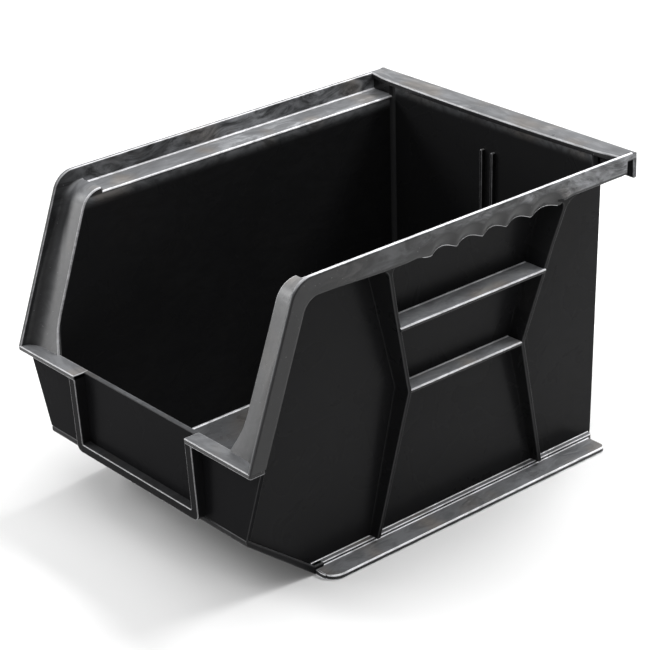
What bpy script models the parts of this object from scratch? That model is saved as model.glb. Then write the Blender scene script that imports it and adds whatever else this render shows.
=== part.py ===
"""Open-front stacking crate: a hang-and-stack storage bin, modelled member by member.

Metres, +Z up. The front (low hopper mouth) faces -Y, the hanging lip is at +Y, and the
right side seen from the front is +X. The origin is at the centre of the footprint, on the
surface that the crate stands on. Neighbouring members keep a gap of GAP.
"""
import math

import bmesh
import bpy

COLLECTION = "stacking_crate"

# Driving dimensions
WIDTH = 0.210                 # across the rim lips
DEPTH = 0.280                 # hopper flange to hanging lip
HEIGHT = 0.182                # floor to rim
WALL = 0.0025                 # wall and ledge thickness
GAP = 0.0003                  # between neighbouring members

# Rim: a ledge that the next crate's base flanges stand on, inside an upright lip
LIP_T = 0.0027
LEDGE_DROP = 0.0105           # rim to stacking ledge
STOP_RISE = 0.0025            # the ledge's higher part at the front corner
STOP_Y = -0.0886
CORNER_R = 0.014              # rim's rounded front corner
ARC_STEPS = 8
LIP_END_Y = 0.1326            # lips stop here, which leaves the hanging slot open

# Hopper mouth
HOPPER_H = 0.0872             # top of the front flange
HOPPER_SLOPE = 0.38           # forward run per metre of drop
FLANGE_BACK_Y = -0.1286
FLANGE_T = 0.003

# Walls lean in towards the base
IN_TOP_X, IN_BASE_X = 0.0845, 0.0825
BACK_TOP_Y, BACK_BASE_Y = 0.1285, 0.1240
FRONT_Y = -0.133              # front wall's outer face
FRONT_T = 0.003
FRONT_HALF_TOP, FRONT_HALF_BASE = 0.1048, 0.0923

# Base
FLOOR_BOTTOM, FLOOR_TOP = 0.0015, 0.0045
SILL_TOP, SILL_X = 0.005, 0.0895
BASE_T, BASE_X = 0.003, 0.102
BASE_FRONT_Y, BASE_REAR_Y = -0.088, 0.121
BASE_R_FRONT, BASE_R_REAR = 0.009, 0.004
SLOPE_FOOT_Y, SLOPE_HEAD_Z = -0.088, 0.036
SLOPE_T, SLOPE_X = 0.003, 0.089
SLOPE_END_Y = -0.0843

# Rear shelf and hanging lip
SHELF_T, SHELF_FRONT_Y = 0.003, 0.1245
HANGER_T, HANGER_DROP = 0.0028, 0.015

# Label frame on the front wall
LABEL_OUT_X, LABEL_IN_X = 0.0555, 0.0500
LABEL_BASE_Z, LABEL_BAR = 0.0385, 0.0055
LABEL_TOP_Y, LABEL_BASE_Y = -0.140, -0.138

# Side ribs: place (y) and outer edge (x) at the rim, the waist and the base
RIB_T = 0.0025
RIB_TOP_Z, WAIST_Z = 0.1687, 0.0890
RIB_X_TOP, RIB_X_WAIST, RIB_X_BASE = 0.1041, 0.0965, 0.0912
FRONT_RIB_Y = (-0.0430, -0.0240, -0.0445)
REAR_RIB_Y = (0.0855, 0.0600, 0.0790)
UPPER_CROSS_Z, UPPER_CROSS_X = 0.1300, 0.1012

# Finger grip under each side lip
GRIP_DEPTH, SCALLOP = 0.0034, 0.0011
GRIP_FINGERS, FINGER_STEPS = 6, 6

# Divider rails on the centre line
RAIL_X, RAIL_T, RAIL_DEPTH, RAIL_TOP = 0.0044, 0.0018, 0.0022, 0.158
FRONT_RAIL_TOP = 0.080

HALF_W, FRONT, REAR = WIDTH / 2, -DEPTH / 2, DEPTH / 2
LIP_X = HALF_W - LIP_T
LEDGE_TOP = HEIGHT - LEDGE_DROP
LEDGE_BOTTOM = LEDGE_TOP - WALL
LEDGE_X = LIP_X - GAP
WALL_BASE = SILL_TOP + GAP
SHELF_BOTTOM = HEIGHT - SHELF_T
HANGER_Y = REAR - HANGER_T
SLANT = math.atan(HOPPER_SLOPE)


def between(z, z0, a, z1, b):
    """Straight-line value at height z, a at z0 and b at z1."""
    return a + (b - a) * (z - z0) / (z1 - z0)


def inner_x(z):
    return between(z, WALL_BASE, IN_BASE_X, LEDGE_TOP, IN_TOP_X)


def outer_x(z):
    return inner_x(z) + WALL


def back_y(z):
    return between(z, WALL_BASE, BACK_BASE_Y, LEDGE_TOP, BACK_TOP_Y)


def slope_top_z(y):
    """Height of the sloping front floor's upper face."""
    run = SLOPE_FOOT_Y - FRONT_Y
    angle = math.atan(SLOPE_HEAD_Z / run)
    return (SLOPE_FOOT_Y - y) * SLOPE_HEAD_Z / run + SLOPE_T / math.cos(angle)


def slope_top_y(z):
    """Place where the sloping floor's upper face is at height z."""
    y0, y1 = FRONT_Y, SLOPE_FOOT_Y
    return between(z, slope_top_z(y0), y0, slope_top_z(y1), y1)


def hopper_y(z, offset):
    """Slanted rim line, moved inwards by offset."""
    return FRONT + HOPPER_SLOPE * (z - HOPPER_H) + offset / math.cos(SLANT)


def rim_path(offset, start_y, end_z):
    """Side view of the rim, moved inwards by offset: level, round the corner, down the slant."""
    centre_y, centre_z = hopper_y(HEIGHT - CORNER_R, CORNER_R), HEIGHT - CORNER_R
    points = [(start_y, HEIGHT - offset)]
    for i in range(ARC_STEPS + 1):
        turn = math.pi / 2 + (math.pi / 2 - SLANT) * i / ARC_STEPS
        radius = CORNER_R - offset
        points.append((centre_y + radius * math.cos(turn), centre_z + radius * math.sin(turn)))
    points.append((hopper_y(end_z, offset), end_z))
    return points


def collection(name):
    found = bpy.data.collections.new(name)
    bpy.context.scene.collection.children.link(found)
    return found


def plastic(name, roughness):
    """Black polypropylene; ledges and flanges are worn a little smoother than walls."""
    material = bpy.data.materials.new(name)
    material.use_nodes = True
    shader = material.node_tree.nodes["Principled BSDF"]
    shader.inputs["Base Color"].default_value = (0.014, 0.014, 0.015, 1.0)
    shader.inputs["Roughness"].default_value = roughness
    shader.inputs["Metallic"].default_value = 0.0
    return material


def sheet(name, outline, place, roughness=0.42):
    """Flat outline filled and extruded, then put in place by place(u, v, is_far_side)."""
    curve = bpy.data.curves.new(name, "CURVE")
    curve.dimensions = "2D"
    curve.fill_mode = "BOTH"
    curve.extrude = WALL / 2
    spline = curve.splines.new("POLY")
    spline.points.add(len(outline) - 1)
    for point, (u, v) in zip(spline.points, outline):
        point.co = (u, v, 0.0, 1.0)
    spline.use_cyclic_u = True
    flat = bpy.data.objects.new(name + "_outline", curve)
    PARTS.objects.link(flat)
    bpy.context.view_layer.update()
    evaluated = flat.evaluated_get(bpy.context.evaluated_depsgraph_get())
    mesh = bpy.data.meshes.new_from_object(evaluated)
    bpy.data.objects.remove(flat)
    mesh.name = name
    bm = bmesh.new()
    bm.from_mesh(mesh)
    bmesh.ops.remove_doubles(bm, verts=bm.verts, dist=0.000001)
    for vert in bm.verts:
        vert.co = place(vert.co.x, vert.co.y, vert.co.z > 0)
    bmesh.ops.recalc_face_normals(bm, faces=bm.faces)
    if bm.calc_volume(signed=True) < 0:
        bmesh.ops.reverse_faces(bm, faces=bm.faces)
    bm.to_mesh(mesh)
    bm.free()
    mesh.materials.clear()
    mesh.materials.append(plastic(name, roughness))
    part = bpy.data.objects.new(name, mesh)
    PARTS.objects.link(part)
    return part


def constant(value):
    return lambda height: value


def side_plate(name, side, outline, near_x, far_x, roughness=0.42):
    """Outline in side view (y, z), between two x faces that may lean with height."""
    def place(y, z, is_far_side):
        return (side * (far_x(z) if is_far_side else near_x(z)), y, z)
    return sheet(name, outline, place, roughness)


def front_plate(name, outline, near_y, far_y, roughness=0.42):
    """Outline in front view (x, z), between two y faces that may lean with height."""
    def place(x, z, is_far_side):
        return (x, far_y(z) if is_far_side else near_y(z), z)
    return sheet(name, outline, place, roughness)


def level_plate(name, outline, low_z, high_z, roughness=0.36):
    """Outline in plan (x, y), between two heights."""
    def place(x, y, is_far_side):
        return (x, y, high_z if is_far_side else low_z)
    return sheet(name, outline, place, roughness)


def rectangle(u0, u1, v0, v1):
    return [(u0, v0), (u1, v0), (u1, v1), (u0, v1)]


def quarter(cx, cy, radius, start, steps=6):
    """Points of a quarter circle, from start degrees on, anticlockwise."""
    turns = [math.radians(start + 90 * i / steps) for i in range(steps + 1)]
    return [(cx + radius * math.cos(t), cy + radius * math.sin(t)) for t in turns]


def floor_panel():
    edge = IN_BASE_X - GAP
    outline = rectangle(-edge, edge, SLOPE_END_Y + GAP, BACK_BASE_Y + WALL)
    level_plate("floor_panel", outline, FLOOR_BOTTOM, FLOOR_TOP)


def front_slope_panel():
    outline = [
        (FRONT_Y, SLOPE_HEAD_Z),
        (SLOPE_FOOT_Y, 0.0),
        (SLOPE_END_Y, 0.0),
        (SLOPE_END_Y, FLOOR_TOP),
        (slope_top_y(FLOOR_TOP), FLOOR_TOP),
        (FRONT_Y, slope_top_z(FRONT_Y)),
    ]
    side_plate("front_slope_panel", 1, outline, constant(-SLOPE_X), constant(SLOPE_X))


def front_wall():
    base = slope_top_z(FRONT_Y) + GAP
    shoulder = HOPPER_H - FLANGE_T - GAP
    outline = [
        (-FRONT_HALF_BASE, base),
        (FRONT_HALF_BASE, base),
        (FRONT_HALF_TOP, shoulder),
        (LABEL_OUT_X, shoulder),
        (LABEL_OUT_X, HOPPER_H),
        (-LABEL_OUT_X, HOPPER_H),
        (-LABEL_OUT_X, shoulder),
        (-FRONT_HALF_TOP, shoulder),
    ]
    front_plate("front_wall", outline, constant(FRONT_Y), constant(FRONT_Y + FRONT_T))


def back_wall():
    low, high = WALL_BASE, LEDGE_TOP
    outline = [
        (-inner_x(low) + GAP, low),
        (inner_x(low) - GAP, low),
        (inner_x(high) - GAP, high),
        (-inner_x(high) + GAP, high),
    ]
    front_plate("back_wall", outline, back_y, lambda z: back_y(z) + WALL)


def back_header():
    """Upper band of the back wall, as wide as the rim, which closes the ledges' rear ends."""
    step = LEDGE_TOP + GAP
    outline = [
        (-LEDGE_X, LEDGE_BOTTOM),
        (-IN_TOP_X, LEDGE_BOTTOM),
        (-IN_TOP_X, step),
        (IN_TOP_X, step),
        (IN_TOP_X, LEDGE_BOTTOM),
        (LEDGE_X, LEDGE_BOTTOM),
        (LEDGE_X, SHELF_BOTTOM - GAP),
        (-LEDGE_X, SHELF_BOTTOM - GAP),
    ]
    front_plate("back_header", outline, constant(BACK_TOP_Y), constant(BACK_TOP_Y + WALL))


def rear_shelf():
    shoulder_y = LIP_END_Y + GAP
    outline = [
        (-LEDGE_X, SHELF_FRONT_Y),
        (LEDGE_X, SHELF_FRONT_Y),
        (LEDGE_X, shoulder_y),
        (HALF_W, shoulder_y),
        (HALF_W, REAR),
        (-HALF_W, REAR),
        (-HALF_W, shoulder_y),
        (-LEDGE_X, shoulder_y),
    ]
    level_plate("rear_shelf", outline, SHELF_BOTTOM, HEIGHT)


def hanger_lip():
    outline = rectangle(-HALF_W, HALF_W, HEIGHT - HANGER_DROP, SHELF_BOTTOM - GAP)
    front_plate("hanger_lip", outline, constant(HANGER_Y), constant(REAR))


def side_wall(name, side):
    """Side wall from the front wall to the back, under the ledges and over the base."""
    stop_bottom = HEIGHT - LEDGE_DROP + STOP_RISE - WALL - GAP
    front_y = FRONT_Y + FRONT_T + GAP
    offset = LEDGE_DROP - STOP_RISE + WALL + GAP
    slant_foot = between(front_y, hopper_y(HOPPER_H, offset), HOPPER_H,
                         hopper_y(LEDGE_BOTTOM, offset), LEDGE_BOTTOM)
    rim = rim_path(offset, STOP_Y, max(slant_foot, HOPPER_H + GAP))
    outline = [
        (front_y, slope_top_z(front_y) + GAP),
        (slope_top_y(WALL_BASE - GAP), WALL_BASE),
        (back_y(WALL_BASE) + WALL, WALL_BASE),
        (back_y(LEDGE_BOTTOM) + WALL, LEDGE_BOTTOM - GAP),
        (STOP_Y, LEDGE_BOTTOM - GAP),
        (STOP_Y, stop_bottom),
    ]
    outline += rim[1:]
    shoulder = HOPPER_H - FLANGE_T - GAP
    outline += [(FLANGE_BACK_Y + GAP, rim[-1][1]), (FLANGE_BACK_Y + GAP, shoulder), (front_y, shoulder)]
    side_plate(name, side, outline, inner_x, outer_x)


def rim_ledge(name, side):
    outline = rectangle(STOP_Y + GAP, BACK_TOP_Y - GAP, LEDGE_BOTTOM, LEDGE_TOP)
    side_plate(name, side, outline, constant(IN_TOP_X), constant(LEDGE_X), 0.36)


def hopper_ledge(name, side):
    """Ledge round the corner and down the slant; its rear end is the stacking stop."""
    top = LEDGE_DROP - STOP_RISE
    end_z = HOPPER_H + GAP
    outline = rim_path(top, STOP_Y, end_z) + rim_path(top + WALL, STOP_Y, end_z)[::-1]
    side_plate(name, side, outline, constant(IN_TOP_X), constant(LEDGE_X), 0.36)


def rim_lip(name, side):
    outline = rectangle(STOP_Y + GAP, LIP_END_Y, LEDGE_BOTTOM, HEIGHT)
    side_plate(name, side, outline, constant(LIP_X), constant(HALF_W), 0.36)


def hopper_lip(name, side):
    end_z = HOPPER_H + GAP
    inner = LEDGE_DROP - STOP_RISE + WALL
    outline = rim_path(0.0, STOP_Y, end_z) + rim_path(inner, STOP_Y, end_z)[::-1]
    side_plate(name, side, outline, constant(LIP_X), constant(HALF_W), 0.36)


def front_flange(name, side):
    near, far = sorted((side * (LABEL_OUT_X + GAP), side * HALF_W))
    outline = rectangle(near, far, FRONT, FLANGE_BACK_Y)
    level_plate(name, outline, HOPPER_H - FLANGE_T, HOPPER_H)


def base_sill(name, side):
    near, far = sorted((side * IN_BASE_X, side * SILL_X))
    outline = rectangle(near, far, SLOPE_END_Y + GAP, BACK_BASE_Y + WALL)
    level_plate(name, outline, 0.0, SILL_TOP)


def base_flange(name, side):
    """Flat runner that stands on a table or on the ledge of the crate below."""
    near = SILL_X + GAP
    front = quarter(BASE_X - BASE_R_FRONT, BASE_FRONT_Y + BASE_R_FRONT, BASE_R_FRONT, 270)
    rear = quarter(BASE_X - BASE_R_REAR, BASE_REAR_Y - BASE_R_REAR, BASE_R_REAR, 0)
    outline = [(near, BASE_FRONT_Y)] + front + rear + [(near, BASE_REAR_Y)]
    level_plate(name, [(side * x, y) for x, y in outline], 0.0, BASE_T)


def label_side_bar(name, side):
    near, far = sorted((side * LABEL_IN_X, side * LABEL_OUT_X))
    outline = rectangle(near, far, LABEL_BASE_Z, HOPPER_H)
    front_plate(name, outline, label_front_y, constant(FRONT_Y - GAP))


def label_base_bar():
    edge = LABEL_IN_X - GAP
    outline = rectangle(-edge, edge, LABEL_BASE_Z, LABEL_BASE_Z + LABEL_BAR)
    front_plate("label_base_bar", outline, label_front_y, constant(FRONT_Y - GAP))


def label_front_y(z):
    return between(z, LABEL_BASE_Z, LABEL_BASE_Y, HOPPER_H, LABEL_TOP_Y)


def rib_y(places, z):
    """Centre of a rib at height z; its place is given at the rim, the waist and the base."""
    top, waist, base = places
    if z >= WAIST_Z:
        return between(z, WAIST_Z, waist, RIB_TOP_Z, top)
    return between(z, WALL_BASE, base, WAIST_Z, waist)


def rib_outer_x(z):
    if z >= WAIST_Z:
        return between(z, WAIST_Z, RIB_X_WAIST, RIB_TOP_Z, RIB_X_TOP)
    return between(z, WALL_BASE, RIB_X_BASE, WAIST_Z, RIB_X_WAIST)


def rib_root_x(z):
    return outer_x(z) + GAP


def rib(name, side, places, low, high):
    half = RIB_T / 2
    y_low, y_high = rib_y(places, low), rib_y(places, high)
    outline = [(y_low - half, low), (y_low + half, low), (y_high + half, high), (y_high - half, high)]
    side_plate(name, side, outline, rib_root_x, rib_outer_x)


def cross_rib(name, side, height, reach):
    """Level rib between the two upright ribs."""
    clear = RIB_T / 2 + GAP
    levels = (height - RIB_T / 2, height, height + RIB_T / 2)
    front = [(rib_y(FRONT_RIB_Y, z) + clear, z) for z in levels]
    rear = [(rib_y(REAR_RIB_Y, z) - clear, z) for z in levels]
    outline = front[::-1] + rear
    side_plate(name, side, outline, rib_root_x, constant(reach), 0.36)


def finger_grip(name, side):
    """Scalloped strip under the side lip, one shallow hollow for each finger."""
    top = LEDGE_BOTTOM - GAP
    base = top - GRIP_DEPTH
    clear = RIB_T / 2 + GAP
    front_y, rear_y = rib_y(FRONT_RIB_Y, base) + clear, rib_y(REAR_RIB_Y, base) - clear
    step = (rear_y - front_y) / GRIP_FINGERS
    lower = []
    for i in range(GRIP_FINGERS * FINGER_STEPS + 1):
        rise = SCALLOP * math.sin(math.pi * (i % FINGER_STEPS) / FINGER_STEPS)
        lower.append((front_y + step * i / FINGER_STEPS, base + rise))
    outline = lower + [(rear_y, top), (front_y, top)]
    side_plate(name, side, outline, constant(LIP_X), constant(HALF_W), 0.36)


def divider_rail(name, side, front):
    near, far = sorted((side * (RAIL_X - RAIL_T / 2), side * (RAIL_X + RAIL_T / 2)))
    if front:
        outline = rectangle(near, far, slope_top_z(FRONT_Y) + GAP, FRONT_RAIL_TOP)
        face = FRONT_Y + FRONT_T + GAP
        front_plate(name, outline, constant(face), constant(face + RAIL_DEPTH))
        return
    outline = rectangle(near, far, WALL_BASE, RAIL_TOP)
    front_plate(name, outline, lambda z: back_y(z) - GAP - RAIL_DEPTH, lambda z: back_y(z) - GAP)


def side_members(prefix, side):
    side_wall(prefix + "_side_wall", side)
    rim_ledge(prefix + "_rim_ledge", side)
    rim_lip(prefix + "_rim_lip", side)
    hopper_ledge(prefix + "_hopper_ledge", side)
    hopper_lip(prefix + "_hopper_lip", side)
    front_flange(prefix + "_front_flange", side)
    base_sill(prefix + "_base_sill", side)
    base_flange(prefix + "_base_flange", side)
    label_side_bar(prefix + "_label_bar", side)
    finger_grip(prefix + "_finger_grip", side)
    for place, rib_places in (("front", FRONT_RIB_Y), ("rear", REAR_RIB_Y)):
        rib(f"{prefix}_{place}_rib_upper", side, rib_places, WAIST_Z + GAP / 2, RIB_TOP_Z)
        rib(f"{prefix}_{place}_rib_lower", side, rib_places, WALL_BASE, WAIST_Z - GAP / 2)
    cross_rib(prefix + "_cross_rib_upper", side, UPPER_CROSS_Z, UPPER_CROSS_X)
    cross_rib(prefix + "_cross_rib_lower", side, WAIST_Z, RIB_X_WAIST)
    divider_rail(prefix + "_rear_divider_rail", side, False)
    divider_rail(prefix + "_front_divider_rail", side, True)


for old in list(bpy.data.objects):
    bpy.data.objects.remove(old, do_unlink=True)
PARTS = collection(COLLECTION)
floor_panel()
front_slope_panel()
front_wall()
back_wall()
back_header()
rear_shelf()
hanger_lip()
label_base_bar()
for side_name, side_sign in (("left", -1), ("right", 1)):
    side_members(side_name, side_sign)
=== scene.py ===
"""Open-front stacking crate in black moulded polypropylene, on a pale studio floor.

Sizes here are millimetres in the CAD frame; finish_mesh() turns them into metres. The CAD nodes
give the walls, ledges, ribs and runners; the pieces here add the moulding's fillets, coves,
rounded edges, finger hollows and scuffed surface. The surface also carries painted light: painted
sheen on faces that look up, painted highlights on rounded edges and fillets, a painted highlight
band inside below the rim, and painted shade on the front wall and in the finger hollows.
"""
import math

import bmesh
import bpy
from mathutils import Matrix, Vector


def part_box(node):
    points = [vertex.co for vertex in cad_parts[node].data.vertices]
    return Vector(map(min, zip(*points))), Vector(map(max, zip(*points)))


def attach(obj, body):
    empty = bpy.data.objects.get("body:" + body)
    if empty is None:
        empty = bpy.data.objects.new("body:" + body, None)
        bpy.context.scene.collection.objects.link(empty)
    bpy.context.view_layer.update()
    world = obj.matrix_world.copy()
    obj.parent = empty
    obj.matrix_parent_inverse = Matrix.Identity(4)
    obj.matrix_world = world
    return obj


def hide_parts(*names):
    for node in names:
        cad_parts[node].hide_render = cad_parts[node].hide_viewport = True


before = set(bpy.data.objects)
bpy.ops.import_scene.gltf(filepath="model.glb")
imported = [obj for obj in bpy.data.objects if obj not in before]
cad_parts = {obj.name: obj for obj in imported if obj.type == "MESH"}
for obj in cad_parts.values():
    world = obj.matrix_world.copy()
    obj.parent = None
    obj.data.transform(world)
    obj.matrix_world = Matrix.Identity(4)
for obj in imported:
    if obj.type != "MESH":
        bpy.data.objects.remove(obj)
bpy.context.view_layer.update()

MM = 0.001
SIDES = (("left", -1), ("right", 1))  # name of each side and the sign of its x


# ---------------------------------------------------------------- sizes from the frame

def corners(node):
    """Lowest and highest corner of a CAD node, in millimetres."""
    low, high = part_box(node)
    return low / MM, high / MM


LIP_LOW, LIP_HIGH = corners("right_rim_lip")
LEDGE_LOW, LEDGE_HIGH = corners("right_rim_ledge")
SHELF_LOW = corners("rear_shelf")[0]
HANGER_LOW, HANGER_HIGH = corners("hanger_lip")
HEADER_LOW, HEADER_HIGH = corners("back_header")
BACK_LOW, BACK_HIGH = corners("back_wall")
FRONT_LOW, FRONT_HIGH = corners("front_wall")
FLOOR_LOW, FLOOR_HIGH = corners("floor_panel")
SLOPE_LOW, SLOPE_HIGH = corners("front_slope_panel")
SILL_LOW, SILL_HIGH = corners("right_base_sill")
RUNNER_LOW, RUNNER_HIGH = corners("right_base_flange")
FLANGE_LOW, FLANGE_HIGH = corners("right_front_flange")
BAR_LOW, BAR_HIGH = corners("right_label_bar")
BASE_BAR_LOW, BASE_BAR_HIGH = corners("label_base_bar")

WALL = LEDGE_HIGH.z - LEDGE_LOW.z
RIM_Z = LIP_HIGH.z
RIM_X = LIP_HIGH.x
LEDGE_IN_X = LEDGE_LOW.x
LEDGE_DROP = RIM_Z - LEDGE_HIGH.z
STEP_RISE = 2.5                       # the ledge is higher round the bend and down the mouth
STOP_DROP = LEDGE_DROP - STEP_RISE
STOP_Y = LEDGE_LOW.y
MOUTH_Z = FLANGE_HIGH.z
FRONT_Y = FLANGE_LOW.y
REAR_Y = HANGER_HIGH.y
GAP = 0.3                             # between CAD nodes; the moulding has none
CORNER_R = 14.0                       # bend between the level rim and the slanted mouth
NOSE = 0.9                            # rounding of the ledges' inner edge
FRONT_FILLET = 6.5                    # upright inside corners next to the front wall
REAR_FILLET = 2.5                     # upright inside corners next to the back wall
SLANT = math.atan(0.38)               # slanted edge of the mouth, measured from upright
SLOPE_FOOT_Y = FLOOR_LOW.y - 4.0      # where the sloping front floor meets the ground
SLOPE_UNDER_Z = 36.0                  # underside of the sloping front floor at the front wall
BASIN_LOW_X = FLOOR_HIGH.x + GAP      # inside half width at the floor


# ---------------------------------------------------------------- mesh helpers

def finish_mesh(name, bm, look, smooth_angle):
    """Writes a bmesh in millimetres as an object in metres, faces outwards, shaded smooth.

    look holds the materials: first the faces', then their rounded edges', lighter with scuffing and
    with a painted highlight, then any others.
    """
    bmesh.ops.remove_doubles(bm, verts=bm.verts, dist=0.0005)
    bmesh.ops.recalc_face_normals(bm, faces=bm.faces)
    if bm.calc_volume(signed=True) < 0:
        bmesh.ops.reverse_faces(bm, faces=bm.faces)
    for vert in bm.verts:
        vert.co *= MM
    mesh = bpy.data.meshes.new(name)
    bm.to_mesh(mesh)
    bm.free()
    mesh.shade_smooth()
    mesh.set_sharp_from_angle(angle=math.radians(smooth_angle))
    for material in look or ():
        mesh.materials.append(material)
    piece = bpy.data.objects.new(name, mesh)
    bpy.context.scene.collection.objects.link(piece)
    return piece


def loft(name, rings, look, smooth_angle=40, edge_strip_width=0.45, edges=None):
    """Closed skin over a row of closed rings of equal length, capped at both ends.

    Strips narrower than edge_strip_width are the rounded edges, and take the look's edge material,
    which is lighter with scuffing and a painted highlight. edges, where it is given, holds that limit
    for each strip that can be an edge.
    """
    bm = bmesh.new()
    rows = [[bm.verts.new(Vector(point)) for point in ring] for ring in rings]
    count = len(rings[0])
    for near, far in zip(rows, rows[1:]):
        for i in range(count):
            j = (i + 1) % count
            face = bm.faces.new((near[i], near[j], far[j], far[i]))
            width = max((near[i].co - near[j].co).length, (far[i].co - far[j].co).length)
            if width < (edge_strip_width if edges is None else edges.get(i, 0)):
                face.material_index = 1
    bm.faces.new(rows[0])
    bm.faces.new(rows[-1])
    return finish_mesh(name, bm, look, smooth_angle)


def slab(name, outline, place, look, bevel):
    """Outline extruded between two faces: place(u, v, side) gives the point for side 0 or 1."""
    near = [place(u, v, 0) for u, v in outline]
    far = [place(u, v, 1) for u, v in outline]
    piece = loft(name, [near, far], look, edge_strip_width=0)
    if bevel:
        round_edges(piece, bevel)
    return piece


def round_edges(piece, width, segments=3, angle=38):
    """Rounds the edges that are sharper than the angle; the rounds take the edge material."""
    bevel = piece.modifiers.new("round_edges", "BEVEL")
    bevel.width = width * MM
    bevel.segments = segments
    bevel.limit_method = "ANGLE"
    bevel.angle_limit = math.radians(angle)
    bevel.use_clamp_overlap = True
    bevel.material = 1
    normals = piece.modifiers.new("even_shading", "WEIGHTED_NORMAL")
    normals.keep_sharp = False
    piece.data.shade_smooth()


def rounded(points, radii, steps):
    """Polygon with its corners rounded; radii has one radius for each corner, 0 keeps it sharp."""
    out = []
    count = len(points)
    for i, point in enumerate(points):
        corner = Vector(point)
        before = Vector(points[i - 1]) - corner
        after = Vector(points[(i + 1) % count]) - corner
        radius = radii[i]
        if radius <= 0:
            out.append(tuple(corner))
            continue
        before_n, after_n = before.normalized(), after.normalized()
        half = before_n.angle(after_n) / 2
        reach = min(radius / math.tan(half), before.length * 0.49, after.length * 0.49)
        radius = reach * math.tan(half)
        centre = corner + (before_n + after_n).normalized() * (radius / math.sin(half))
        start = corner + before_n * reach - centre
        turn = start.angle_signed(corner + after_n * reach - centre)
        for k in range(steps + 1):
            angle = -turn * k / steps
            c, s = math.cos(angle), math.sin(angle)
            out.append(tuple(centre + Vector((start.x * c - start.y * s, start.x * s + start.y * c))))
    return out


def between(t, t0, a, t1, b):
    """Straight line through (t0, a) and (t1, b), at t."""
    return a + (b - a) * (t - t0) / (t1 - t0)


def quarter_turn(steps):
    """Angles from 0 to a right angle."""
    return [math.pi / 2 * i / steps for i in range(steps + 1)]


def smooth_step(t, t0, t1):
    """Goes smoothly from 0 at t0 to 1 at t1."""
    k = min(max((t - t0) / (t1 - t0), 0.0), 1.0)
    return k * k * (3 - 2 * k)


def cut_away(piece, cutter):
    """Takes the cutter's volume out of the piece, and removes the cutter."""
    modifier = piece.modifiers.new("cut", "BOOLEAN")
    modifier.object = cutter
    modifier.operation = "DIFFERENCE"
    modifier.solver = "EXACT"
    bpy.context.view_layer.update()
    evaluated = piece.evaluated_get(bpy.context.evaluated_depsgraph_get())
    mesh = bpy.data.meshes.new_from_object(evaluated)
    piece.modifiers.clear()
    piece.data = mesh
    bpy.data.objects.remove(cutter)


def own(piece, *nodes, slot="body_plastic"):
    """The piece rides on the crate and stands for these CAD nodes."""
    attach(piece, "root")
    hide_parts(*nodes)


# ---------------------------------------------------------------- materials

# grey of the film on the plastic: handling haze and dusty films, and also the painted sheen on faces
# that look up and the painted highlight band inside
COOL_DUST_AND_SHEEN = (0.400, 0.410, 0.428, 1)
WARM_DUST_AND_SHEEN = (0.455, 0.428, 0.404, 1)


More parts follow.
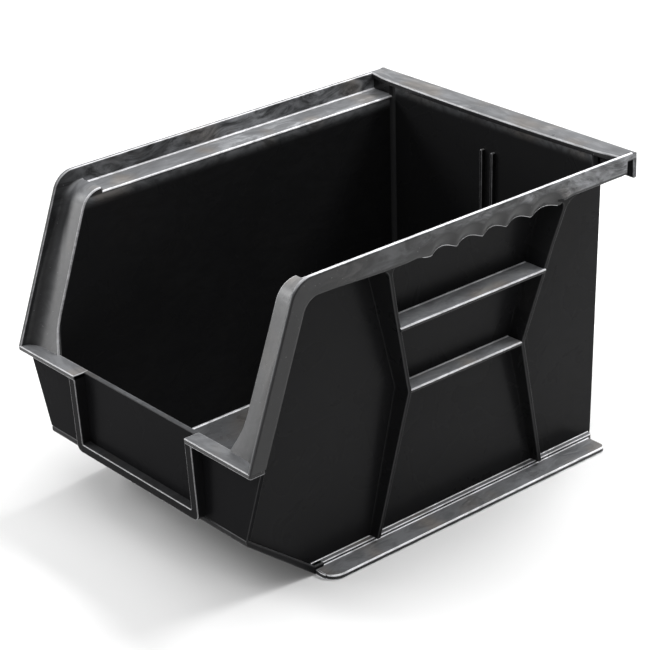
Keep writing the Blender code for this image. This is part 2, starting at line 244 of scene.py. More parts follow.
def plastic(name, colour, roughness, specular, haze, dust_and_sheen, edge_wear_and_highlight=None, front_wear_and_highlight=1.0,
            streaks=(1, 0.4, 1), painted_highlight=0.0):
    """Black polypropylene with cloudy gloss and fine grain.

    haze is the swirling white film of handling, stronger towards the rear; dust_and_sheen is the grey
    film on faces that look up, partly a dusty film and partly painted sheen standing in for the lamps'
    reflection.
    edge_wear_and_highlight is the colour that patches of a scuffed edge have instead, partly scuffing
    and partly a painted highlight, less so round the mouth where front_wear_and_highlight is below 1.
    painted_highlight is the pale band inside, below the rim: a painted reflection on the inner wall's
    top.
    """
    material = bpy.data.materials.new(name)
    material.use_nodes = True
    tree = material.node_tree
    nodes, links = tree.nodes, tree.links
    shader = nodes["Principled BSDF"]
    shader.inputs["Specular IOR Level"].default_value = specular
    shader.inputs["IOR"].default_value = 1.49
    place = nodes.new("ShaderNodeTexCoord")
    geometry = nodes.new("ShaderNodeNewGeometry")

    def noise(scale, detail, rough, stretch=(1, 1, 1), distortion=0.0):
        mapping = nodes.new("ShaderNodeMapping")
        mapping.inputs["Scale"].default_value = stretch
        links.new(place.outputs["Object"], mapping.inputs["Vector"])
        node = nodes.new("ShaderNodeTexNoise")
        node.inputs["Scale"].default_value = scale
        node.inputs["Detail"].default_value = detail
        node.inputs["Roughness"].default_value = rough
        node.inputs["Distortion"].default_value = distortion
        links.new(mapping.outputs["Vector"], node.inputs["Vector"])
        return node.outputs["Fac"]

    def ramp(value, low, high, a=0.0, b=1.0):
        node = nodes.new("ShaderNodeMapRange")
        node.inputs["From Min"].default_value = low
        node.inputs["From Max"].default_value = high
        node.inputs["To Min"].default_value = a
        node.inputs["To Max"].default_value = b
        links.new(value, node.inputs["Value"])
        return node.outputs["Result"]

    def combine(operation, a, b):
        node = nodes.new("ShaderNodeMath")
        node.operation = operation
        links.new(a, node.inputs[0])
        links.new(b, node.inputs[1])
        return node.outputs["Value"]

    def dot(vector, direction):
        node = nodes.new("ShaderNodeVectorMath")
        node.operation = "DOT_PRODUCT"
        links.new(vector, node.inputs[0])
        node.inputs[1].default_value = direction
        return node.outputs["Value"]

    def axis(vector, letter):
        split = nodes.new("ShaderNodeSeparateXYZ")
        links.new(vector, split.inputs["Vector"])
        return split.outputs[letter]

    clouds = noise(26, 4, 0.55, distortion=1.0)
    swirls = noise(95, 6, 0.66, stretch=streaks, distortion=2.4)
    specks = noise(900, 2, 0.5)
    facing_up = axis(geometry.outputs["Normal"], "Z")
    facing_back = axis(geometry.outputs["Normal"], "Y")
    along = axis(place.outputs["Object"], "Y")
    # the film of handling shows towards the rear and the left, and hardly on faces that look forwards;
    # it is held back on faces that look down: painted shade in the finger hollows
    handling_and_shade = ramp(dot(place.outputs["Object"], (-0.8, 1.0, 0.0)), -0.17, 0.05, 0.10, 1.0)
    handling_and_shade = combine("MULTIPLY", handling_and_shade, ramp(along, -0.110, -0.085, 0.10, 1.0))
    handling_and_shade = combine("MULTIPLY", handling_and_shade, ramp(facing_up, -0.12, 0.0))
    handling_and_shade = combine("MULTIPLY", handling_and_shade, ramp(facing_back, -0.9, -0.4))
    film = combine("MULTIPLY", ramp(clouds, 0.34, 0.62, 0.35, 1.0), ramp(swirls, 0.38, 0.62, 0.15, 1.0))
    marks_and_sheen = combine("MULTIPLY", ramp(film, 0.0, 1.0, 0.0, haze), handling_and_shade)
    marks_and_sheen = combine("ADD", marks_and_sheen, ramp(specks, 0.71, 0.76, 0.0, 0.03 + 0.3 * haze))
    # painted sheen: faces that look up turn grey, partly a dusty film and partly standing in for the
    # lamps' reflection
    settled_and_sheen = ramp(facing_up, 0.25, 0.95, 0.0, dust_and_sheen)
    marks_and_sheen = combine("MAXIMUM", marks_and_sheen, combine("MULTIPLY", settled_and_sheen, ramp(film, 0.0, 0.8, 0.55, 1.0)))
    # painted highlight: a pale band on the inside walls just below the ledges, standing in for a
    # reflection on the wall's rounded top
    if painted_highlight:
        # the band starts higher up on the back wall, which looks forwards
        level = dot(place.outputs["Object"], (0.0, 0.0, 1.0))
        level = combine("ADD", level, ramp(facing_back, -1.0, 0.0, -8 * MM, 0.0))
        low, high = (LEDGE_HIGH.z - 9.0) * MM, (LEDGE_HIGH.z - 1.0) * MM
        band = combine("MULTIPLY", ramp(level, low, high - 2 * MM), ramp(level, low, high - 1 * MM))
        band = combine("MULTIPLY", band, ramp(level, high - 1 * MM, high, 1.0, 0.2))
        band = combine("MULTIPLY", band, ramp(film, 0.0, 0.7, 0.3 * painted_highlight, painted_highlight))
        marks_and_sheen = combine("MAXIMUM", marks_and_sheen, band)
    tint = nodes.new("ShaderNodeMix")
    tint.data_type = "RGBA"
    tint.inputs["A"].default_value = COOL_DUST_AND_SHEEN
    tint.inputs["B"].default_value = WARM_DUST_AND_SHEEN
    links.new(ramp(noise(34, 2, 0.5), 0.52, 0.66), tint.inputs["Factor"])
    mix = nodes.new("ShaderNodeMix")
    mix.data_type = "RGBA"
    mix.inputs["A"].default_value = (*colour, 1)
    links.new(tint.outputs["Result"], mix.inputs["B"])
    links.new(marks_and_sheen, mix.inputs["Factor"])
    surface = mix.outputs["Result"]
    if edge_wear_and_highlight:
        scuffed_and_lit = nodes.new("ShaderNodeMix")
        scuffed_and_lit.data_type = "RGBA"
        scuffed_and_lit.inputs["B"].default_value = (*edge_wear_and_highlight, 1)
        links.new(surface, scuffed_and_lit.inputs["A"])
        patches = ramp(film, 0.15, 0.60, 0.55, 1.0)
        behind_mouth = ramp(along, -0.106, -0.088, front_wear_and_highlight, 1.0)
        links.new(combine("MULTIPLY", patches, behind_mouth), scuffed_and_lit.inputs["Factor"])
        surface = scuffed_and_lit.outputs["Result"]
    links.new(surface, shader.inputs["Base Color"])
    gloss = combine("ADD", ramp(clouds, 0.3, 0.7, roughness - 0.03, roughness + 0.03),
                    ramp(marks_and_sheen, 0.0, 1.0, 0.0, 0.05))
    links.new(gloss, shader.inputs["Roughness"])
    height = combine("ADD", ramp(noise(1400, 2, 0.6), 0.0, 1.0), ramp(swirls, 0.0, 1.0, 0.0, haze))
    bump = nodes.new("ShaderNodeBump")
    bump.inputs["Strength"].default_value = 0.25
    bump.inputs["Distance"].default_value = 0.00012
    links.new(height, bump.inputs["Height"])
    links.new(bump.outputs["Normal"], shader.inputs["Normal"])
    return material


def look(name, colour, roughness, specular, haze, dust_and_sheen, edge, edge_specular=0.5, front_wear_and_highlight=1.0,
         streaks=(1, 0.4, 1)):
    """Materials of a group of pieces: the plastic itself, and its rounded edges."""
    # the rounded edges are three times lighter than the faces and their patches take the light edge
    # tone: partly scuffing, partly a painted highlight on the rounds
    edge_colour = tuple(3 * value for value in colour)
    edge_wear_and_highlight = (edge, edge, 1.03 * edge)
    return (plastic(name, colour, roughness, specular, haze, dust_and_sheen, streaks=streaks),
            plastic(name + "_edge", edge_colour, 0.30, edge_specular, haze, dust_and_sheen, edge_wear_and_highlight, front_wear_and_highlight,
                    streaks=streaks))


# each look is a copy of one black plastic set part by part: its grey on faces that look up is partly
# painted sheen, its light edges partly a painted highlight
WALL_LOOK = look("wall_plastic", (0.0115, 0.0115, 0.0121), roughness=0.28, specular=0.07,
                 haze=0.01, dust_and_sheen=0.26, edge=0.035, edge_specular=0.12)
# inside walls, with a painted highlight band below the ledges
INNER = plastic("inner_plastic", (0.0125, 0.0125, 0.0131), roughness=0.28, specular=0.07,
                haze=0.01, dust_and_sheen=0.26, painted_highlight=0.45)
# painted shade: the front wall is a darker copy of the wall plastic with almost no specular
FRONT_LOOK = look("front_plastic", (0.0080, 0.0080, 0.0086), roughness=0.26, specular=0.01,
                  haze=0.01, dust_and_sheen=0.20, edge=0.03, edge_specular=0.05)
# round the mouth the left rim keeps part of its light edge tone and the right rim none: a painted
# highlight along the left slant, partly scuffing
RIM_LOOKS = {name: look(name + "_rim_plastic", (0.0120, 0.0120, 0.0127), roughness=0.36,
                        specular=0.40, haze=0.85, dust_and_sheen=0.52, edge=0.85, edge_specular=0.38,
                        front_wear_and_highlight=mouth_wear_and_highlight)
             for name, mouth_wear_and_highlight in (("left", 0.45), ("right", 0.0))}
REAR_LOOK = look("rear_plastic", (0.0120, 0.0120, 0.0127), roughness=0.27, specular=0.35,
                 haze=0.60, dust_and_sheen=0.42, edge=0.40, streaks=(0.3, 1, 1))
BASE_LOOK = look("base_plastic", (0.0110, 0.0110, 0.0116), roughness=0.27, specular=0.35,
                 haze=0.12, dust_and_sheen=0.46, edge=1.00)
RIB_LOOK = look("rib_plastic", (0.0090, 0.0090, 0.0095), roughness=0.28, specular=0.25,
                haze=0.05, dust_and_sheen=0.85, edge=1.00)
FRAME_LOOK = look("frame_plastic", (0.0090, 0.0090, 0.0095), roughness=0.26, specular=0.02,
                  haze=0.04, dust_and_sheen=0.06, edge=0.24)
RAIL_LOOK = look("rail_plastic", (0.0100, 0.0100, 0.0106), roughness=0.28, specular=0.20,
                 haze=0.02, dust_and_sheen=0.30, edge=0.25)
# the third material, the ribs' light edge tone, lies on the concave fillet round the floor: a painted
# highlight line
BASIN_MATERIALS = (*WALL_LOOK, RIB_LOOK[1], INNER)


# ---------------------------------------------------------------- basin: floor, walls and back

def inner_x(z):
    """Inside half width at a height; the side walls have draft."""
    return between(z, FLOOR_HIGH.z, BASIN_LOW_X, LEDGE_HIGH.z, LEDGE_IN_X)


def inner_back_y(z):
    """Inner face of the back wall at a height."""
    return between(z, BACK_LOW.z, BACK_LOW.y, BACK_HIGH.z, BACK_HIGH.y - WALL)


def hopper_y(z, offset):
    """Slanted edge of the mouth at a height, moved inwards by offset."""
    return FRONT_Y + (z - MOUTH_Z) * math.tan(SLANT) + offset / math.cos(SLANT)


def corner_point(offset, k):
    """Point of the bend, from its level end (k 0) to its slanted end (k 1).

    Every line of the section bends with the same radius, so the bend starts later near the lip.
    """
    reach = (STOP_Y - 0.3 - hopper_y(RIM_Z, 0)) / (1 / math.cos(SLANT) - math.tan(SLANT))
    radius = min(CORNER_R, reach - offset)
    centre_z = RIM_Z - offset - radius
    centre_y = hopper_y(centre_z, offset + radius)
    angle = math.pi / 2 + (math.pi / 2 - SLANT) * k
    return centre_y + radius * math.cos(angle), centre_z + radius * math.sin(angle)


def slant_point(offset, k):
    """Point of the slanted stretch, from the bend (k 0) to the flange (k 1)."""
    top_z = corner_point(offset, 1)[1]
    z = between(k, 0, top_z, 1, MOUTH_Z - 0.6)
    return max(hopper_y(z, offset), FRONT_Y + 0.02), z


def cavity(name, low_z, high_z):
    """Tapered inside space between two heights, with rounded upright corners."""
    radii = [FRONT_FILLET, FRONT_FILLET, REAR_FILLET, REAR_FILLET]
    rings = []
    for z in (low_z, high_z):
        x, y = inner_x(z), inner_back_y(z)
        plan = [(-x, FRONT_HIGH.y), (x, FRONT_HIGH.y), (x, y), (-x, y)]
        rings.append([(px, py, z) for px, py in rounded(plan, radii, 8)])
    # the narrow strips, those of the rear upright corner fillets, take the edge material: a faint
    # painted highlight line in the inside corners
    return loft(name, rings, None, edge_strip_width=0.6)


def clear_slope(bm):
    """Cuts away what lies under the sloping front floor, and closes the cut."""
    point = Vector((0, SLOPE_LOW.y, SLOPE_HIGH.z))
    normal = Vector((0, SLOPE_HIGH.z - FLOOR_HIGH.z, SLOPE_FOOT_Y - SLOPE_LOW.y)).normalized()
    geometry = bm.verts[:] + bm.edges[:] + bm.faces[:]
    cut = bmesh.ops.bisect_plane(bm, geom=geometry, plane_co=point * MM, plane_no=-normal,
                                 clear_outer=True)
    rim_edges = [e for e in cut["geom_cut"] if isinstance(e, bmesh.types.BMEdge)]
    bmesh.ops.contextual_create(bm, geom=rim_edges)
    bmesh.ops.recalc_face_normals(bm, faces=bm.faces)


def floor_edges(bm):
    """Edges where the floors meet the walls: one face looks down, the other is nearly upright."""
    found = []
    for edge in bm.edges:
        if len(edge.link_faces) != 2:
            continue
        tilts = sorted(face.normal.z for face in edge.link_faces)
        if tilts[0] < -0.5 and -0.3 < tilts[1] < 0.5:
            found.append(edge)
    return found


def make_inside():
    """Space that is cut out of the basin, with a fillet round the floors and its own materials."""
    floor_fillet = 0.9
    well_above = RIM_Z + 20.0
    inside = cavity("cavity", FLOOR_HIGH.z, well_above)
    bm = bmesh.new()
    bm.from_mesh(inside.data)
    clear_slope(bm)
    fillet = bmesh.ops.bevel(bm, geom=floor_edges(bm), offset=floor_fillet * MM, segments=4,
                             profile=0.5, affect="EDGES")
    for face in bm.faces:
        if face.material_index == 0:
            face.material_index = BASIN_MATERIALS.index(INNER)
    # the concave fillet round the floors takes the ribs' light edge material: a painted highlight line
    # where floor and walls meet
    for face in fillet["faces"]:
        face.material_index = BASIN_MATERIALS.index(RIB_LOOK[1])
    bm.to_mesh(inside.data)
    bm.free()
    for material in BASIN_MATERIALS:
        inside.data.materials.append(material)
    return inside


def make_basin():
    """Floor, side walls and back wall in one skin, up to the rounded edge of the ledges."""
    front = FRONT_LOW.y + 0.4
    wall_y = FRONT_HIGH.y + 0.1
    under = STOP_DROP + NOSE
    top = LEDGE_HIGH.z - NOSE
    back = inner_back_y(top) - 0.5
    shelf = SHELF_LOW.z + 0.2
    shoulder = MOUTH_Z - 0.15
    heel_r = 4.0                          # round between the floor and the back wall
    outline = [
        (front, between(front, SLOPE_LOW.y, SLOPE_UNDER_Z + GAP, SLOPE_FOOT_Y, GAP)),
        (SLOPE_FOOT_Y + FLOOR_LOW.z, FLOOR_LOW.z),
        (inner_back_y(FLOOR_LOW.z) + WALL, FLOOR_LOW.z),
        (inner_back_y(shelf) + WALL, shelf),
        (back, shelf),
        (back, top),
        (STOP_Y + 0.5, top),
        (STOP_Y + 0.5, top + STEP_RISE),
    ]
    outline += [corner_point(under, k / 8) for k in range(9)]
    outline.append((wall_y, (wall_y - hopper_y(0, under)) / math.tan(SLANT)))
    outline += [(wall_y, shoulder), (front, shoulder)]
    outline = rounded(outline, [0, 0, heel_r] + [0] * (len(outline) - 3), 6)

    def place(y, z, side):
        x = inner_x(z) + WALL
        return ((x if side else -x), y, z)

    basin = slab("crate_basin", outline, place, BASIN_MATERIALS, bevel=0)
    cut_away(basin, make_inside())
    round_edges(basin, 0.4, segments=2, angle=50)
    own(basin, "floor_panel", "left_side_wall", "right_side_wall", "back_wall")


make_basin()


# ---------------------------------------------------------------- rim: ledges, lips and finger grips

def rim_stations():
    """Places along a side rim, rear to front, each a tuple (place, kind, where).

    place(offset) gives (y, z) at a depth below the rim. where is y on the level part, and goes
    from 0 to 1 along the arc and the slant.
    """
    level_steps, arc_steps, slant_steps = 150, 16, 12
    stations = []
    ys = [REAR_Y - 0.1, LIP_HIGH.y + 0.15, LIP_HIGH.y - 0.15, HEADER_HIGH.y - 0.6, HEADER_HIGH.y - 0.8]
    ys += [between(i, 0, HEADER_LOW.y, level_steps, STOP_Y + 1.0) for i in range(level_steps + 1)]
    ys += [STOP_Y + 0.4, STOP_Y - 0.3]
    for y in ys:
        stations.append((lambda offset, y=y: (y, RIM_Z - offset), "level", y))
    for i in range(arc_steps + 1):
        k = i / arc_steps
        stations.append((lambda offset, k=k: corner_point(offset, k), "arc", k))
    for i in range(1, slant_steps + 1):
        k = i / slant_steps
        stations.append((lambda offset, k=k: slant_point(offset, k), "slant", k))
    return stations


GRIP_CUSPS = (-13.4, 4.6, 23.4, 41.0, 59.2, 81.5)     # points between the finger hollows
BAND_DEPTH = 11.6                     # outer band below the rim, outside the deeper middle part
MOUTH_BAND_DEPTH = 10.2               # the same along the slanted mouth
COVE_SIZE = 1.1                       # cove between ledge and lip along the level part
MOUTH_COVE_W, MOUTH_COVE_H = 12.2, 5.4     # what it gains in width and height down the mouth


def band_foot(y):
    """Depth of the outer band below the rim, and how far its foot curls in for the fingers."""
    middle_extra, grip_extra, grip_curl = 1.8, 2.2, 1.6
    hollow_rise, hollow_curl, hollow_softness = 2.8, 2.2, 0.20
    front = smooth_step(y, -90.0, -42.0)
    rear = 1.0 - smooth_step(y, 78.0, 92.0)
    depth = BAND_DEPTH + middle_extra * min(front, rear)
    first, last = GRIP_CUSPS[0], GRIP_CUSPS[-1]
    depth += (grip_extra * smooth_step(y, first - 12.0, first)
              * (1.0 - smooth_step(y, last - 2.0, last + 2.0)))
    curl = (grip_curl * smooth_step(y, first - 20.0, first)
            * (1.0 - smooth_step(y, last - 4.0, last + 3.0)))
    for a, b in zip(GRIP_CUSPS, GRIP_CUSPS[1:]):
        if a <= y <= b:
            hollow = 1.0 - (2.0 * (y - a) / (b - a) - 1.0) ** 2
            hollow = math.hypot(hollow, hollow_softness) - hollow_softness
            depth -= hollow_rise * hollow
            curl += hollow_curl * hollow
    return depth, curl


def bend(cx, cy, rx, ry, start, end, steps):
    """Points of a quarter round between two angles in degrees."""
    angles = [math.radians(between(i, 0, start, steps, end)) for i in range(steps + 1)]
    return [(cx + rx * math.cos(a), cy + ry * math.sin(a)) for a in angles]


def ledge_inner_x(y, z):
    """Inside edge of the ledges; it follows the cavity's rounded front corner."""
    centre = FRONT_HIGH.y + FRONT_FILLET
    step = min(max(centre - y, 0.0), FRONT_FILLET)
    return inner_x(z) - 0.1 - (FRONT_FILLET - math.sqrt(FRONT_FILLET ** 2 - step ** 2))


BAND_ROWS, TOP_STEPS, COVE_STEPS, NOSE_STEPS = 9, 6, 12, 4
TOP_START = BAND_ROWS + 3
COVE_START = TOP_START + 2 * (TOP_STEPS + 1)
NOSE_START = COVE_START + COVE_STEPS + 1
EDGE_STRIP = 0.45                     # strips narrower than this can take the edge material: scuffing, and a painted highlight on the rounds
RIM_EDGES = {i: EDGE_STRIP for i in range(NOSE_START, NOSE_START + NOSE_STEPS)}
# the narrow strips of the hollow cove between ledge and lip take the edge material too: a painted
# highlight line
RIM_EDGES.update({i: 0.15 for i in range(COVE_START + 3, NOSE_START)})


def rim_section(place, kind, where):
    """Ring of (x, offset) round the rim's cross-section, from the band's foot upwards."""
    level = kind == "level"
    lip_only = level and where > HEADER_HIGH.y - 0.7
    ledge = LEDGE_DROP if level and where >= STOP_Y else STOP_DROP
    under, nose = ledge + WALL, NOSE
    inner = ledge_inner_x(*place(ledge))
    if level:
        foot, curl = band_foot(where)
        grow = 0.0
    elif kind == "arc":
        foot, curl = between(where, 0, BAND_DEPTH, 1, MOUTH_BAND_DEPTH), 0.0
        grow = 0.35 * where
    else:
        foot, curl = MOUTH_BAND_DEPTH, 0.0
        grow = 0.35 + 0.65 * smooth_step(where, 0.0, 0.6)
    cove_w, cove_h = COVE_SIZE + MOUTH_COVE_W * grow, COVE_SIZE + MOUTH_COVE_H * grow
    if lip_only:
        # behind the header there is no ledge
        inner, nose = LIP_LOW.x - 0.4, 0.1
    if level and where > LIP_HIGH.y:
        # behind the lip the band is only as deep as the rear shelf
        foot, under, ledge, cove_w, cove_h, curl = 4.2, 4.2, 3.6, 0.3, 0.3, 0.0
    foot_r, top_r = (0.4 if curl > 1.2 else 0.7), 1.25
    curl_h, curl_power = 9.0, 1.6
    points = bend(RIM_X - curl - foot_r, foot - foot_r, foot_r, foot_r, 90, 0, 2)
    for i in range(1, BAND_ROWS + 1):
        offset = between(i, 0, foot - foot_r, BAND_ROWS, top_r + 0.1)
        t = max(0.0, 1.0 - (foot - offset) / curl_h)
        points.append((RIM_X - curl * t ** curl_power, offset))
    points += bend(RIM_X - top_r, top_r, top_r, top_r, 0, -90, TOP_STEPS)
    points += bend(LIP_LOW.x + top_r, top_r, top_r, top_r, -90, -180, TOP_STEPS)
    points += bend(LIP_LOW.x - cove_w, ledge - cove_h, cove_w, cove_h, 0, 90, COVE_STEPS)
    points += bend(inner + nose, ledge + nose, nose, nose, -90, -180, NOSE_STEPS)
    tuck = inner + (0.1 if lip_only else 0.7)
    underside = max(under, ledge + nose + 0.2)
    points += [(tuck, ledge + nose + 0.1), (tuck, underside), (LIP_LOW.x - 0.6 * curl, underside)]
    points += [(LIP_LOW.x - curl, foot - 0.3), (LIP_LOW.x - curl + 0.3, foot)]
    return points


def make_side_rim(side_name, side):
    """Side rim; its light edge line, partly scuffing and partly a painted highlight, lies further in on
    the left, where the outer edge stays dark.
    """
    rings = []
    edges = dict(RIM_EDGES)
    # on the right the edge material runs over most of the lip's rounded top, on the left only over part
    # of its inner round: partly scuffing, partly a painted highlight
    scuffed_and_lit_from = TOP_START + (3 if side > 0 else TOP_STEPS + 3)
    edges.update({i: EDGE_STRIP for i in range(scuffed_and_lit_from, COVE_START - 3)})
    # the band's foot takes the edge material too: a thin painted highlight along the finger hollows
    foot_strip = 1
    edges[foot_strip] = EDGE_STRIP
    for place, kind, where in rim_stations():
        ring = []
        for x, offset in rim_section(place, kind, where):
            y, z = place(offset)
            ring.append((side * x, y, z))
        rings.append(ring)
    rim = loft(side_name + "_rim", rings, RIM_LOOKS[side_name], 35, edges=edges)
    nodes = ("rim_ledge", "rim_lip", "hopper_ledge", "hopper_lip", "finger_grip")
    own(rim, *[f"{side_name}_{node}" for node in nodes], slot="rim_plastic")


for side_name, side in SIDES:
    make_side_rim(side_name, side)


# ---------------------------------------------------------------- rear shelf, header and hanging lip

def make_rear_rim():
    """Inverted U: shelf on top, header inside, hanging lip outside; the slot is between them."""
    end = RIM_X - 0.05
    inside = LIP_LOW.x + 0.3
    steps, round_steps = 40, 4
    full_ring = 5 * (round_steps + 1) + 5     # the U has five rounded corners and five sharp ones
    shelf = SHELF_LOW.z - 0.1
    lip_in = HANGER_LOW.y
    xs = [-end, -inside - 0.1]
    xs += [between(i, 0, -inside, steps, inside) for i in range(steps + 1)]
    xs += [inside + 0.1, end]
    rings = []
    for x in xs:
        if abs(x) > inside + 0.05:
            front = lip_in - 0.02
            outline = [(front, RIM_Z), (REAR_Y, RIM_Z), (REAR_Y, HANGER_LOW.z), (front, HANGER_LOW.z)]
            outline += [(front, between(i, 0, HANGER_LOW.z, 7, RIM_Z)) for i in range(1, 7)]
            radii = [0, 0.9, 0.7, 0.7] + [0] * 6
        else:
            front = SHELF_LOW.y - 1.3 + 1.5 * (x / 75.0) ** 2 + 1.8 * smooth_step(abs(x), 88.0, inside)
            header, header_back = HEADER_LOW.y + 0.6, HEADER_HIGH.y + 0.1
            outline = [
                (front, RIM_Z), (REAR_Y, RIM_Z), (REAR_Y, HANGER_LOW.z), (lip_in, HANGER_LOW.z),
                (lip_in, shelf), (header_back, shelf), (header_back, HEADER_LOW.z + 0.2),
                (header, HEADER_LOW.z + 0.2), (header, shelf), (front, shelf),
            ]
            radii = [0.8, 0.9, 0.7, 0.7, 0.8] + [0] * 5
        ring = rounded(outline, radii, round_steps)
        ring += [ring[-1]] * (full_ring - len(ring))
        rings.append([(x, y, z) for y, z in ring])
    piece = loft("rear_rim", rings, REAR_LOOK, 35)
    own(piece, "rear_shelf", "hanger_lip", "back_header", slot="rim_plastic")


make_rear_rim()


# ---------------------------------------------------------------- front panel, flanges and label frame

def make_front_panel():
    """Front wall; it narrows to the width of the sloping floor at its foot."""
    base, shoulder = FRONT_LOW.z - 0.8, MOUTH_Z - 0.12
    bend_z = shoulder - 2.5
    wide, narrow = FRONT_HIGH.x, SLOPE_HIGH.x + 0.4
    outline = [(-narrow, base), (narrow, base), (wide, bend_z), (wide, shoulder),
               (-wide, shoulder), (-wide, bend_z)]

    def place(x, z, side):
        return (x, (FRONT_HIGH.y - 0.2) if side else FRONT_LOW.y, z)
    own(slab("front_panel", outline, place, FRONT_LOOK, 0.4), "front_wall")


def make_flange(side_name, side):
    """Flat flange on the front wall; its inner corner is rounded into the basin."""
    turn = FRONT_FILLET
    rear = hopper_y(MOUTH_Z, STOP_DROP + WALL) - 0.1
    inside = inner_x(MOUTH_Z)
    outside = inside + WALL
    plan = [
        (BAR_LOW.x, FRONT_Y), (FLANGE_HIGH.x, FRONT_Y), (FLANGE_HIGH.x, rear), (outside, rear),
        (outside, rear + turn), (inside, rear + turn), (inside, FRONT_HIGH.y),
        (BAR_LOW.x, FRONT_HIGH.y),
    ]
    plan = rounded(plan, [0.6, 1.2, 2.5, 0, 0, 0, turn, 0], 6)

    def place(x, y, top):
        return (side * x, y, FLANGE_HIGH.z if top else FLANGE_LOW.z)
    own(slab(side_name + "_flange", plan, place, REAR_LOOK, 0.55), side_name + "_front_flange",
        slot="rim_plastic")


def make_label_frame():
    """Three-sided frame for a slip-in card, open at the top."""
    out_x, in_x = BAR_HIGH.x, BAR_LOW.x
    low, sill = BAR_LOW.z, BASE_BAR_HIGH.z
    top = MOUTH_Z - 0.1
    outer_r, inner_r = 4.0, 1.0
    outline = [(-out_x, top), (-out_x, low), (out_x, low), (out_x, top),
               (in_x, top), (in_x, sill), (-in_x, sill), (-in_x, top)]
    outline = rounded(outline, [0, outer_r, outer_r, 0, 0, inner_r, inner_r, 0], 6)

    def place(x, z, side):
        face = between(z, low, BASE_BAR_LOW.y, top, FRONT_Y + 0.1)
        return (x, (FRONT_LOW.y + 0.5) if side else face, z)
    own(slab("label_frame", outline, place, FRAME_LOOK, 0.5), "label_base_bar", "left_label_bar",
        "right_label_bar")


make_front_panel()
for side_name, side in SIDES:
    make_flange(side_name, side)
make_label_frame()


# ---------------------------------------------------------------- base: skirt, sills and runners

def make_slope_skirt():
    """Sloping front floor with its edges standing proud of the side walls."""
    wide = SLOPE_HIGH.x
    front, rear = FRONT_LOW.y - 0.1, SILL_LOW.y + 2.0
    outline = [(front, SLOPE_UNDER_Z + 0.2), (SLOPE_FOOT_Y, 0.0), (rear, 0.0), (rear, SILL_HIGH.z),
               (SLOPE_FOOT_Y - 0.5, SILL_HIGH.z), (front, SLOPE_HIGH.z)]
    outline = rounded(outline, [2.0, 2.5, 0, 0, 1.5, 0.6], 5)

    def place(y, z, side):
        return (wide if side else -wide, y, z)
    skirt = slab("slope_skirt", outline, place, WALL_LOOK, bevel=0)
    cut_away(skirt, cavity("skirt_cavity", FLOOR_HIGH.z - 1.0, MOUTH_Z))
    round_edges(skirt, 0.5)
    own(skirt, "front_slope_panel")


def base_section(sill_x, runner_x):
    """Sill and runner cross-section as (x, z), from the inside foot outwards and back up."""
    sill_z, top = SILL_HIGH.z, RUNNER_HIGH.z
    wall_x = inner_x(sill_z) + WALL
    root_x, root_z = wall_x - 2.2, sill_z + 0.9     # a foot that goes into the side wall
    outline = [(root_x, 0.0), (runner_x, 0.0), (runner_x, top), (sill_x, top), (sill_x, sill_z),
               (wall_x, sill_z), (wall_x, root_z), (root_x, root_z)]
    return rounded(outline, [0.3, 0.5, 0.8, 0.5, 0.5, 0.6, 0, 0], 4)


def make_runner(side_name, side):
    """Sill and runner in one skin; the runner's ends and the sill's rear end are rounded in plan."""
    front_r, rear_r, sill_r = 9.0, 3.2, 1.8
    first, last = RUNNER_LOW.y, RUNNER_HIGH.y + 1.0
    sill_end = last + 2.9
    sill_x = SILL_HIGH.x - 1.3
    flush = 0.02                          # what the runner stands out where there is only the sill
    sections = [(SILL_LOW.y - 3.0, sill_x, sill_x + flush), (first - flush, sill_x, sill_x + flush)]
    for a in quarter_turn(12):
        x = RUNNER_HIGH.x - front_r + front_r * math.sin(a)
        sections.append((first + front_r - front_r * math.cos(a), sill_x, x))
    for a in quarter_turn(8):
        x = RUNNER_HIGH.x - rear_r + rear_r * math.cos(a)
        sections.append((last - rear_r + rear_r * math.sin(a), sill_x, x))
    sections.append((last + flush, sill_x, sill_x + flush))
    for a in quarter_turn(4):
        x = sill_x - sill_r + sill_r * math.cos(a)
        sections.append((sill_end - sill_r + sill_r * math.sin(a), x, x + flush))
    # front to rear; the sill's own start lies 1 mm behind the runner's tip, and leaves a fine notch
    sections.sort(key=lambda section: section[0])
    rings = []
    for y, section_sill_x, section_runner_x in sections:
        rings.append([(side * x, y, z) for x, z in base_section(section_sill_x, section_runner_x)])
    own(loft(side_name + "_runner", rings, BASE_LOOK, 35, edge_strip_width=0.5), side_name + "_base_flange",
        side_name + "_base_sill", slot="rim_plastic")


make_slope_skirt()
for side_name, side in SIDES:
    make_runner(side_name, side)


# ---------------------------------------------------------------- side ribs

def rib_line(place):
    """Rib's centre (y) and outer edge (x) at the rim, the waist and the base, from its CAD nodes."""
    upper_low, upper_high = corners(f"right_{place}_rib_upper")
    lower_low, lower_high = corners(f"right_{place}_rib_lower")
    cross_low, cross_high = corners("right_cross_rib_lower")
    half = (cross_high.z - cross_low.z) / 2
    base_x = 91.2                         # outer edge at the rib's foot
    if place == "front":
        ys = (upper_low.y + half, upper_high.y - half, lower_low.y + half)
    else:
        ys = (upper_high.y - half, upper_low.y + half, lower_high.y - half)
    return ys, (upper_high.x, lower_high.x, base_x), (upper_high.z, upper_low.z, lower_low.z), half


def rib_at(line, z):
    """Centre (y) and outer edge (x) of a rib at a height."""
    ys, xs, zs, _ = line
    a, b = (0, 1) if z >= zs[1] else (1, 2)
    return between(z, zs[b], ys[b], zs[a], ys[a]), between(z, zs[b], xs[b], zs[a], xs[a])


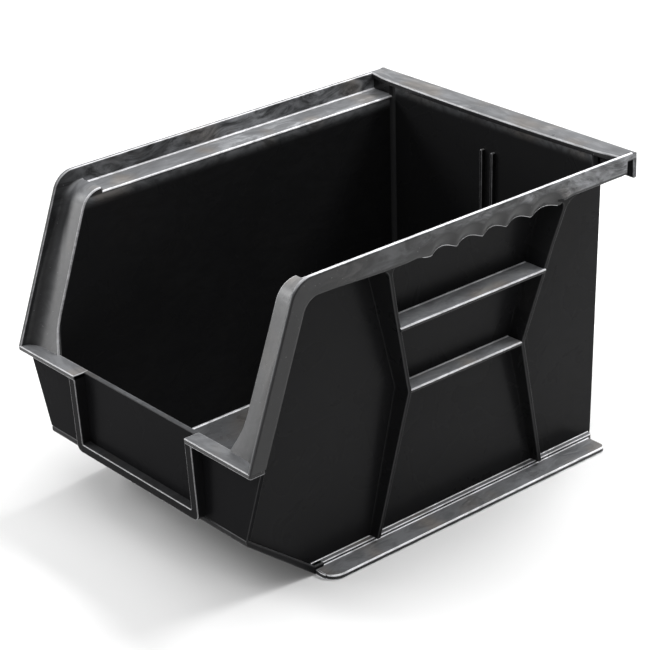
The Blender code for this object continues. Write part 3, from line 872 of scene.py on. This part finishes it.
def make_rib(side_name, side, place):
    """Upright rib bent at the waist, flared where it runs into the rim's outer band."""
    line = rib_line(place)
    _, _, zs, half = line
    crown, top, flare = LEDGE_HIGH.z - 0.2, LEDGE_LOW.z + 0.6, 5.5
    root_fillet, root_depth = 0.8, 0.8
    levels = [(crown, flare)]
    for a in quarter_turn(8):
        levels.append((top - flare * (1 - math.cos(a)), flare * (1 - math.sin(a))))
    levels += [(between(i, 0, top - flare, 4, zs[1]), 0.0) for i in range(1, 5)]
    levels.append((zs[2] - 0.3, 0.0))
    rings = []
    for z, spread in levels:
        y, x = rib_at(line, z)
        x = min(x + 0.7 * smooth_step(z, top - 12.0, top - 5.0), RIM_X - 0.2)
        wall = inner_x(z) + WALL
        reach, foot = half + spread, half + spread + root_fillet
        half_section = [(wall - root_depth, foot), (wall, foot), (wall + root_fillet, reach)]
        half_section.append((x, reach))
        section = [(px, -py) for px, py in half_section] + half_section[::-1]
        rings.append([(side * px, y + py, z) for px, py in section])
    rib = loft(f"{side_name}_{place}_rib", rings, WALL_LOOK, 50, edge_strip_width=0)
    round_edges(rib, 0.6, angle=60)
    own(rib, f"{side_name}_{place}_rib_upper", f"{side_name}_{place}_rib_lower")


def make_cross_rib(side_name, side, level):
    """Level rib with a rounded outer edge and a fillet against the wall."""
    node = f"{side_name}_cross_rib_{level}"
    low, high = corners(f"right_cross_rib_{level}")
    wall = inner_x(low.z) + WALL
    root, spread = wall - 1.0, 1.5
    outline = [(root, low.z - spread), (wall, low.z - spread), (wall, low.z), (high.x, low.z),
               (high.x, high.z), (wall, high.z), (wall, high.z + spread), (root, high.z + spread)]
    section = rounded(outline, [0, 0, 1.0, 0.9, 0.8, 0.9, 0, 0], 4)
    rings = []
    for line, inwards in ((rib_line("front"), 0.4), (rib_line("rear"), -0.4)):
        rings.append([(side * x, rib_at(line, z)[0] + inwards, z) for x, z in section])
    top_strips = range(12, 22)            # upper outer round, upper face and its fillet: they take the light edge material, partly scuffing and partly painted sheen and highlight
    own(loft(node, rings, RIB_LOOK, 35, edges={i: EDGE_STRIP for i in top_strips}), node)


for side_name, side in SIDES:
    for rib_place in ("front", "rear"):
        make_rib(side_name, side, rib_place)
    for rib_level in ("upper", "lower"):
        make_cross_rib(side_name, side, rib_level)


# ---------------------------------------------------------------- divider rails

def make_divider_rail(side_name, side, place):
    """Upright rail on the inside of the front or back wall, with its root in the wall."""
    root, proud = 0.6, 2.5
    node = f"{side_name}_{place}_divider_rail"
    low, high = corners(f"right_{place}_divider_rail")
    foot_z = low.z - 1.5
    outline = [(low.x, foot_z), (high.x, foot_z), (high.x, high.z), (low.x, high.z)]

    def position(x, z, far):
        if place == "rear":
            y = inner_back_y(z) + (root if far else -proud)
        else:
            y = FRONT_HIGH.y + (proud if far else -root)
        return (side * x, y, z)
    own(slab(node, outline, position, RAIL_LOOK, 0.35), node)


for side_name, side in SIDES:
    for rail_place in ("front", "rear"):
        make_divider_rail(side_name, side, rail_place)


# ---------------------------------------------------------------- floor, light and camera

def make_floor():
    """Wide pale floor, just below the runners."""
    bm = bmesh.new()
    size, below = 4000.0, -0.1
    for x, y in ((-size, -size), (size, -size), (size, size), (-size, size)):
        bm.verts.new((x * MM, y * MM, below * MM))
    bm.faces.new(bm.verts)
    mesh = bpy.data.meshes.new("studio_floor")
    bm.to_mesh(mesh)
    bm.free()
    floor = bpy.data.objects.new("studio_floor", mesh)
    bpy.context.scene.collection.objects.link(floor)
    material = bpy.data.materials.new("studio_floor")
    material.use_nodes = True
    shader = material.node_tree.nodes["Principled BSDF"]
    shader.inputs["Base Color"].default_value = (0.85, 0.85, 0.85, 1)
    shader.inputs["Roughness"].default_value = 0.9
    shader.inputs["Specular IOR Level"].default_value = 0.1
    mesh.materials.append(material)


def area_light(name, place, aim, size, power):
    light = bpy.data.lights.new(name, "AREA")
    light.shape = "RECTANGLE"
    light.size, light.size_y = size
    light.energy = power
    lamp = bpy.data.objects.new(name, light)
    bpy.context.scene.collection.objects.link(lamp)
    lamp.location = place
    lamp.rotation_euler = (Vector(aim) - Vector(place)).to_track_quat("-Z", "Y").to_euler()


def make_light():
    """Strong high softbox behind for bright edges, broad ones at the back left and front left."""
    world = bpy.data.worlds.new("studio")
    world.use_nodes = True
    background = world.node_tree.nodes["Background"]
    background.inputs["Color"].default_value = (1, 1, 1, 1)
    background.inputs["Strength"].default_value = 0.22
    bpy.context.scene.world = world
    centre = (0.0, 0.0, 0.1)
    area_light("high_softbox", (0.1, 1.0, 1.5), centre, (1.3, 0.5), 30)
    area_light("back_left_softbox", (-1.45, 1.2, 0.95), centre, (2.0, 1.6), 3)
    area_light("left_softbox", (-1.42, -1.0, 1.15), centre, (0.8, 0.7), 22)
    area_light("front_left_softbox", (-1.6, -1.6, 0.48), centre, (0.8, 0.4), 15)
    area_light("top_softbox", (0.1, -0.2, 2.0), centre, (1.8, 1.8), 22)


def make_camera():
    """Three-quarter view from the front right, a little above, with a slight roll."""
    azimuth, elevation, roll = math.radians(50.74), math.radians(25.38), math.radians(-2.48)
    distance = 1.2642
    aim = Vector((-0.0002, -0.0015, 0.0883))
    back = Vector((math.sin(azimuth) * math.cos(elevation), -math.cos(azimuth) * math.cos(elevation),
                   math.sin(elevation)))
    right = Vector((0, 0, 1)).cross(back).normalized()
    up = back.cross(right)
    x_axis = right * math.cos(roll) + up * math.sin(roll)
    y_axis = up * math.cos(roll) - right * math.sin(roll)
    data = bpy.data.cameras.new("camera")
    data.sensor_width = 36.0
    data.lens = 123.55
    camera = bpy.data.objects.new("camera", data)
    bpy.context.scene.collection.objects.link(camera)
    matrix = camera.matrix_world.copy()
    for row in range(3):
        matrix[row][0], matrix[row][1], matrix[row][2] = x_axis[row], y_axis[row], back[row]
    matrix.translation = aim + back * distance
    camera.matrix_world = matrix
    bpy.context.scene.camera = camera


make_floor()
make_light()
make_camera()
bpy.context.scene.view_settings.view_transform = "Standard"
bpy.context.view_layer.update()
